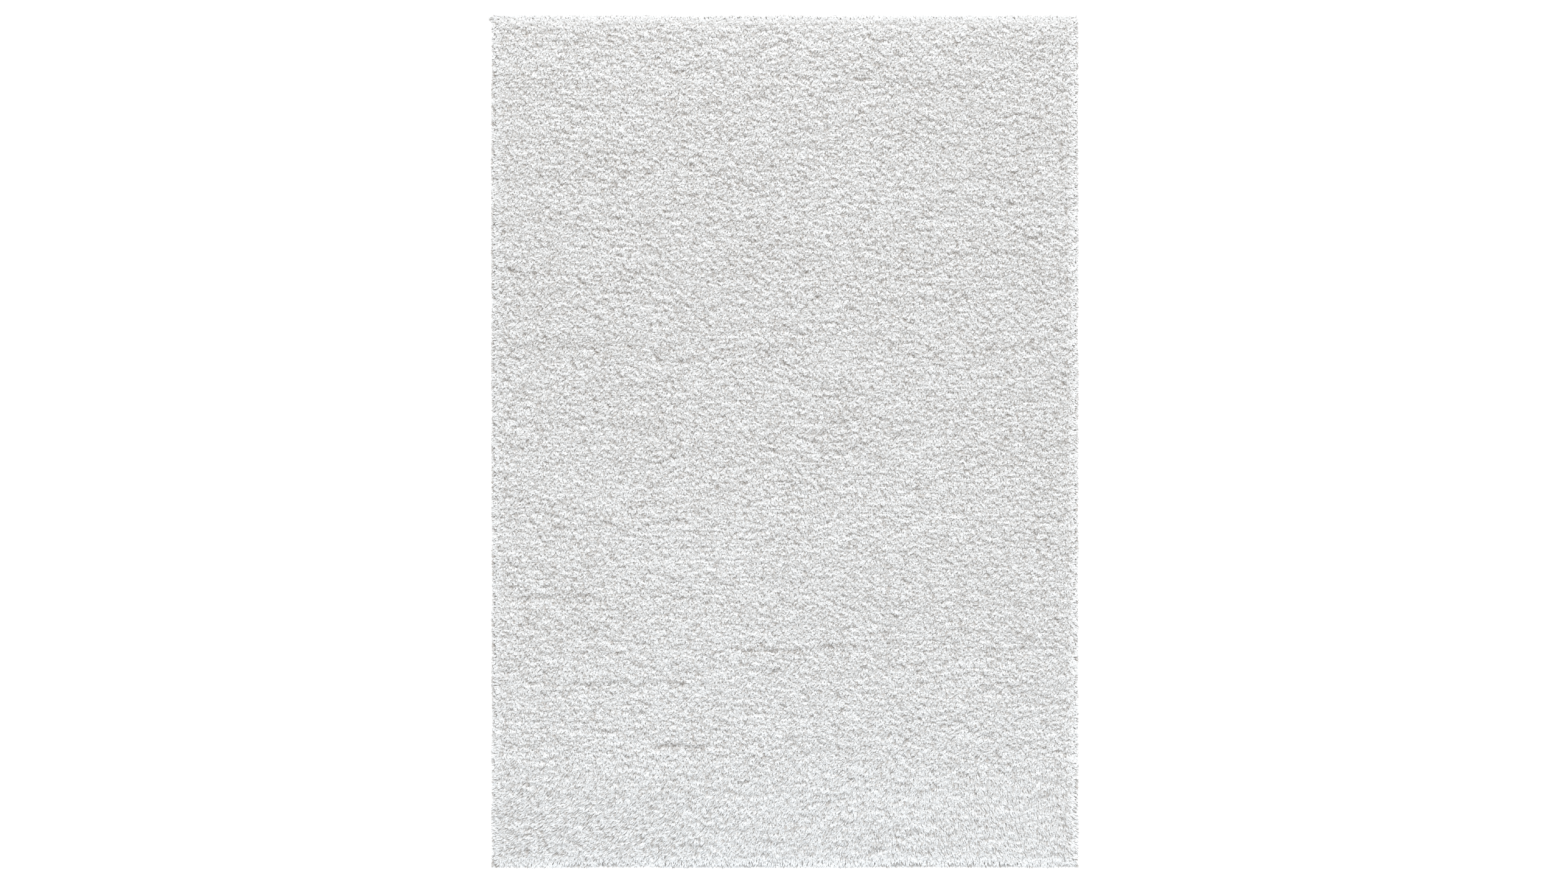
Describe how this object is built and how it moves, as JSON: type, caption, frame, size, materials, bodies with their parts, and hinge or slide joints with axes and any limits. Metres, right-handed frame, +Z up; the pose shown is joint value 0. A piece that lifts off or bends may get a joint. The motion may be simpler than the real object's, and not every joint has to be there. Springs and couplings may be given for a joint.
{
  "type": "shag rug",
  "caption": "Rectangular off-white shag rug lying flat: one lumpy, deep-pile slab with locks of pile splayed out round its rim.",
  "frame": {"origin": "on the floor under the middle of the rug: the bottom centre of its box", "axes": "+Z up out of the pile, +Y along the length against the lean of the pile (the top of the rug as it is seen from above), +X across the width"},
  "size_m": [1.6, 2.323, 0.038],
  "materials": {
    "pile": "matte, soft, fine-fibred cut pile"
  },
  "bodies": {
    "root": {"shag_rug": "pile"}
  },
  "joints": []
}
